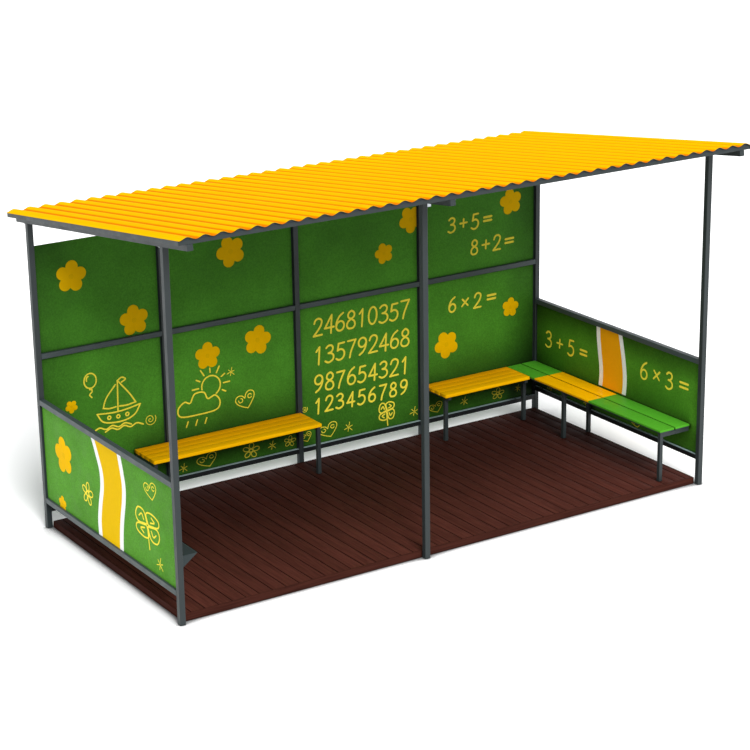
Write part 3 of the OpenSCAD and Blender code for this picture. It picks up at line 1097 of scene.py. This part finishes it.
class PAVILION_OT_numbers(PavilionOperator, bpy.types.Operator):
    """Paint the sums and the rows of digits"""

    bl_idname = "pavilion.numbers"
    bl_label = "Numbers"

    # face, then first digit's left foot, step, height as a share of the full height and the signs
    plan = (
        ("back_in", (
            (1.35, 1.68, 0.113, 0.86, "3+5="), (1.57, 1.468, 0.111, 0.86, "8+2="),
            (1.35, 1.017, 0.125, 0.86, "6x2="), (0.075, 1.050, 0.101, 1.0, "246810357"),
            (0.075, 0.815, 0.101, 0.98, "135792468"), (0.070, 0.590, 0.101, 0.96, "987654321"),
            (0.065, 0.412, 0.101, 0.85, "123456789"),
        )),
        ("right_in", ((-0.97, 0.618, 0.149, 0.93, "3+5="), (0.245, 0.666, 0.152, 0.98, "6x3="))),
    )
    # width of a painted line as a share of the full height
    digit_line, equals_line = 0.128, 0.15

    def build(self, sizes, colours):
        paint = brushed_paint("yellow acrylic numbers", colours.line, shade_corners=False)
        draw = random.Random(3)
        full = sizes.digit_height

        def lay(bm, face, x, y, step, share, signs):
            for k, sign in enumerate(signs):
                height = full * share * draw.uniform(0.96, 1.04)
                foot = y + draw.uniform(-0.004, 0.004)
                width = full * (self.equals_line if sign == "=" else self.digit_line)
                for line in digit_lines(sign, x + step * k, foot, height):
                    add_stroke(bm, face, line, width, sizes.paint_rise)

        paint_walls("numbers", self.plan, [paint], lay)


class PAVILION_OT_drawings(PavilionOperator, bpy.types.Operator):
    """Paint the line drawings and small ornaments"""

    bl_idname = "pavilion.drawings"
    bl_label = "Line drawings"

    # face, then kind, across, up, size and stretch of each drawing
    plan = (
        ("back_in", (
            ("boat", -1.62, 0.83, 0.37), ("swirl", -1.36, 0.66, 0.10), ("balloon", -1.83, 1.02, 0.19),
            ("sun", -0.90, 0.76, 0.40), ("heart", -0.54, 0.646, 0.14), ("star", -0.66, 0.90, 0.07),
            ("star", -1.10, 0.215, 0.075), ("heart", -0.893, 0.232, 0.11, 1.3),
            ("flower", -0.51, 0.232, 0.125, 1.2), ("star", -0.32, 0.235, 0.075),
            ("flower", -0.16, 0.236, 0.09, 1.2), ("heart", -0.01, 0.236, 0.08),
            ("swirl", -0.02, 0.47, 0.055), ("heart", 0.196, 0.25, 0.12, 1.2), ("star", 0.383, 0.24, 0.085),
            ("pinwheel", 0.745, 0.28, 0.19), ("star", 1.01, 0.245, 0.085),
            ("heart", 1.225, 0.235, 0.09, 1.2), ("star", 1.507, 0.235, 0.075),
            ("flower", 1.845, 0.236, 0.10, 1.3), ("star", 2.05, 0.24, 0.06),
        )),
        ("left_out", (
            ("flower", -0.39, 0.495, 0.17), ("heart", 0.60, 0.825, 0.125, 1.2),
            ("pinwheel", 0.53, 0.53, 0.26, 1.7), ("star", 0.69, 0.333, 0.10),
        )),
        ("right_in", (
            ("flower", -0.907, 0.275, 0.06, 1.5), ("star", -0.424, 0.272, 0.055),
            ("heart", 0.215, 0.275, 0.06, 1.6),
        )),
        ("left_in", (
            ("heart", -0.35, 0.42, 0.13), ("star", 0.30, 0.72, 0.09), ("flower", 0.82, 0.36, 0.15),
        )),
        ("right_out", (
            ("heart", 0.36, 0.55, 0.13), ("star", -0.34, 0.40, 0.09), ("flower", -0.80, 0.38, 0.15),
        )),
    )
    shapes = {
        "heart": heart_lines,
        "star": star_lines,
        "flower": open_flower_lines,
        "pinwheel": pinwheel_lines,
        "boat": boat_lines,
        "sun": sun_lines,
        "balloon": balloon_lines,
        "swirl": swirl_lines,
    }

    def build(self, sizes, colours):
        paint = brushed_paint("yellow acrylic lines", colours.line)

        def lay(bm, face, kind, x, y, extent, stretch=1.0):
            # a small drawing is painted with a finer brush
            width = sizes.line_width * min(1.0, max(0.5, extent * 5.0))
            for line in self.shapes[kind]():
                line = [Vector((x + p.x * extent * stretch, y + p.y * extent)) for p in line]
                add_stroke(bm, face, line, width, sizes.paint_rise)

        paint_walls("drawings", self.plan, [paint], lay)


class PAVILION_OT_fixings(PavilionOperator, bpy.types.Operator):
    """Fit the cleats, bolts and bracket between the posts and the rafters"""

    bl_idname = "pavilion.fixings"
    bl_label = "Fixings"

    def build(self, sizes, colours):
        zinc = zinc_plated_steel()
        place, slope = roof_matrix()
        cleats, bolts = bmesh.new(), bmesh.new()
        thick, leg, half = sizes.plate_thickness, sizes.cleat_leg, sizes.cleat_width / 2
        # how far the upright leg's head and the flat leg's top stay below the rafter
        head, drop = 0.0055, 0.0058
        upright = Vector((-half, 0.0, -leg - 0.006)), Vector((half, thick, -head))
        flat = Vector((-half, 0.0002, -thick - drop)), Vector((half, leg, -drop))
        behind = Matrix.Translation((0, thick, -0.024)) @ Matrix.Rotation(-math.pi / 2, 4, "X")
        below = Matrix.Translation((0, 0.02, -thick - drop)) @ Matrix.Rotation(math.pi, 4, "X")
        for name in POSTS:
            if name in INNER_BACK_POSTS:
                continue
            low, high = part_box(name)
            back = (high.y - place.translation.y) / math.cos(slope)
            corner = Vector(((low.x + high.x) / 2, high.y, (place @ Vector((0, back, 0))).z))
            for (start, stop), axis in ((upright, 2), (flat, 1)):
                add_bar(cleats, corner + start, corner + stop, axis, PLATE_EDGE)
            for spot in (behind, below):
                add_bolt_head(bolts, Matrix.Translation(corner) @ spot)
        # one flat bracket in the corner of the middle post and the rafter
        low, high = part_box("post_front_middle")
        top, leg, inset = place.translation.z - 0.004, sizes.bracket_leg, 0.001
        start = (high.x - inset, low.y + inset, top - leg)
        add_bar(cleats, start, (high.x + leg, low.y + inset + thick, top), 2, PLATE_EDGE)
        make_piece("post_cleats", cleats, [zinc])
        make_piece("cleat_bolts", bolts, [zinc])


class PAVILION_OT_stage(PavilionOperator, bpy.types.Operator):
    """Set up the floor, the light and the camera"""

    bl_idname = "pavilion.stage"
    bl_label = "Stage"

    def build(self, sizes, colours):
        scene = bpy.context.scene
        scene.view_settings.view_transform = "Standard"
        self.floor(scene)
        self.sky(scene)
        # a wide low key lamp from the front, one from above and a faint fill from the left
        self.lamp(scene, "soft key", -10.0, 35.0, 2.7, 26.0)
        self.lamp(scene, "soft top", 0.0, 62.0, 1.65, 32.0)
        self.lamp(scene, "soft side", -100.0, 14.0, 1.3, 36.0)
        self.camera(scene)

    def seen_white(self, tree, plain, white, output):
        """Close a tree: white where it is seen straight, mirrored or through glass, else plain."""
        path = add_node(tree, "ShaderNodeLightPath").outputs
        seen = path["Is Camera Ray"]
        for other in ("Is Glossy Ray", "Is Transmission Ray"):
            both = {0: seen, 1: path[other]}
            seen = add_node(tree, "ShaderNodeMath", both, operation="MAXIMUM").outputs[0]
        choice = {0: seen, 1: plain.outputs[0], 2: white.outputs[0]}
        chosen = add_node(tree, "ShaderNodeMixShader", choice)
        add_node(tree, output, {"Surface": chosen.outputs[0]})

    def floor(self, scene):
        """Pale plain floor: white to the camera where it is lit, and it keeps the shadow."""
        bm = bmesh.new()
        reach = 60.0
        corners = ((-reach, -reach, 0.0), (reach, -reach, 0.0), (reach, reach, 0.0), (-reach, reach, 0.0))
        bm.faces.new([bm.verts.new(corner) for corner in corners])
        mesh = bpy.data.meshes.new("floor")
        bm.to_mesh(mesh)
        bm.free()
        floor = bpy.data.objects.new("floor", mesh)
        scene.collection.objects.link(floor)
        material = bpy.data.materials.new("matt white studio floor")
        tree = empty_tree(material)
        matt = add_node(tree, "ShaderNodeBsdfDiffuse", {"Color": (0.6, 0.6, 0.6, 1.0)})
        # a soft contact shadow close under the rails and round the feet
        near = add_node(tree, "ShaderNodeAmbientOcclusion", {"Distance": 0.3}, samples=8)
        span = {"Value": near.outputs["AO"], "From Min": 0.5, "From Max": 0.88, "To Min": 0.2, "To Max": 1.2}
        tone = add_node(tree, "ShaderNodeMapRange", span)
        white = add_node(tree, "ShaderNodeBsdfDiffuse", {"Color": tone.outputs["Result"]})
        self.seen_white(tree, matt, white, "ShaderNodeOutputMaterial")
        mesh.materials.append(material)

    def sky(self, scene):
        """Even sky light that the camera sees as plain white."""
        scene.world = bpy.data.worlds.new("even white sky")
        tree = empty_tree(scene.world)
        sky = add_node(tree, "ShaderNodeBackground", {"Color": (0.96, 0.98, 1.0, 1.0), "Strength": 0.3})
        white = add_node(tree, "ShaderNodeBackground", {"Color": (1, 1, 1, 1), "Strength": 1.0})
        self.seen_white(tree, sky, white, "ShaderNodeOutputWorld")

    def lamp(self, scene, name, turn, height, strength, spread):
        """A wide far lamp: turn to the right of the front and height above the floor, in degrees."""
        data = bpy.data.lights.new(name, "SUN")
        data.energy = strength
        data.angle = math.radians(spread)
        lamp = bpy.data.objects.new(name, data)
        turn, height = math.radians(turn), math.radians(height)
        level = math.cos(height)
        away = Vector((math.sin(turn) * level, -math.cos(turn) * level, math.sin(height)))
        lamp.location = away * 10
        lamp.rotation_mode = "QUATERNION"
        lamp.rotation_quaternion = (-away).to_track_quat("-Z", "Y")
        scene.collection.objects.link(lamp)

    def camera(self, scene):
        """Three-quarter view from the front left, well above the eave."""
        data = bpy.data.cameras.new("camera")
        data.sensor_width = 36.0
        data.lens = 102.75
        data.clip_end = 200.0
        camera = bpy.data.objects.new("camera", data)
        yaw, pitch, roll = (math.radians(a) for a in (32.651, -18.134, -0.931))
        turn = Matrix.Rotation(-yaw, 4, "Z") @ Matrix.Rotation(math.pi / 2 + pitch, 4, "X")
        turn = turn @ Matrix.Rotation(roll, 4, "Z")
        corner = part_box("post_front_left")[0]
        camera.matrix_world = Matrix.Translation(corner + Vector((-5.835, -11.521, 5.923))) @ turn
        scene.collection.objects.link(camera)
        scene.camera = camera


class PAVILION_PT_panel(bpy.types.Panel):
    """Pavilion sizes, colours and building steps"""

    bl_label = "Garden pavilion"
    bl_idname = "PAVILION_PT_panel"
    bl_space_type = "VIEW_3D"
    bl_region_type = "UI"
    bl_category = "Pavilion"

    def draw(self, context):
        for group in (context.scene.pavilion_sizes, context.scene.pavilion_colours):
            box = self.layout.box()
            for key in group.__annotations__:
                box.prop(group, key)
        for step in STEPS:
            self.layout.operator(step.bl_idname)


STEPS = [
    PAVILION_OT_frame,
    PAVILION_OT_boards,
    PAVILION_OT_shade_seals,
    PAVILION_OT_roof,
    PAVILION_OT_benches,
    PAVILION_OT_deck,
    PAVILION_OT_stripes,
    PAVILION_OT_flowers,
    PAVILION_OT_numbers,
    PAVILION_OT_drawings,
    PAVILION_OT_fixings,
    PAVILION_OT_stage,
]
CLASSES = [PavilionSizes, PavilionColours, *STEPS, PAVILION_PT_panel]


def register():
    for item in CLASSES:
        bpy.utils.register_class(item)
    bpy.types.Scene.pavilion_sizes = PointerProperty(type=PavilionSizes)
    bpy.types.Scene.pavilion_colours = PointerProperty(type=PavilionColours)


def unregister():
    del bpy.types.Scene.pavilion_colours
    del bpy.types.Scene.pavilion_sizes
    for item in reversed(CLASSES):
        bpy.utils.unregister_class(item)


def main():
    register()
    for step in STEPS:
        group, name = step.bl_idname.split(".")
        getattr(getattr(bpy.ops, group), name)()


if __name__ == "__main__":
    main()
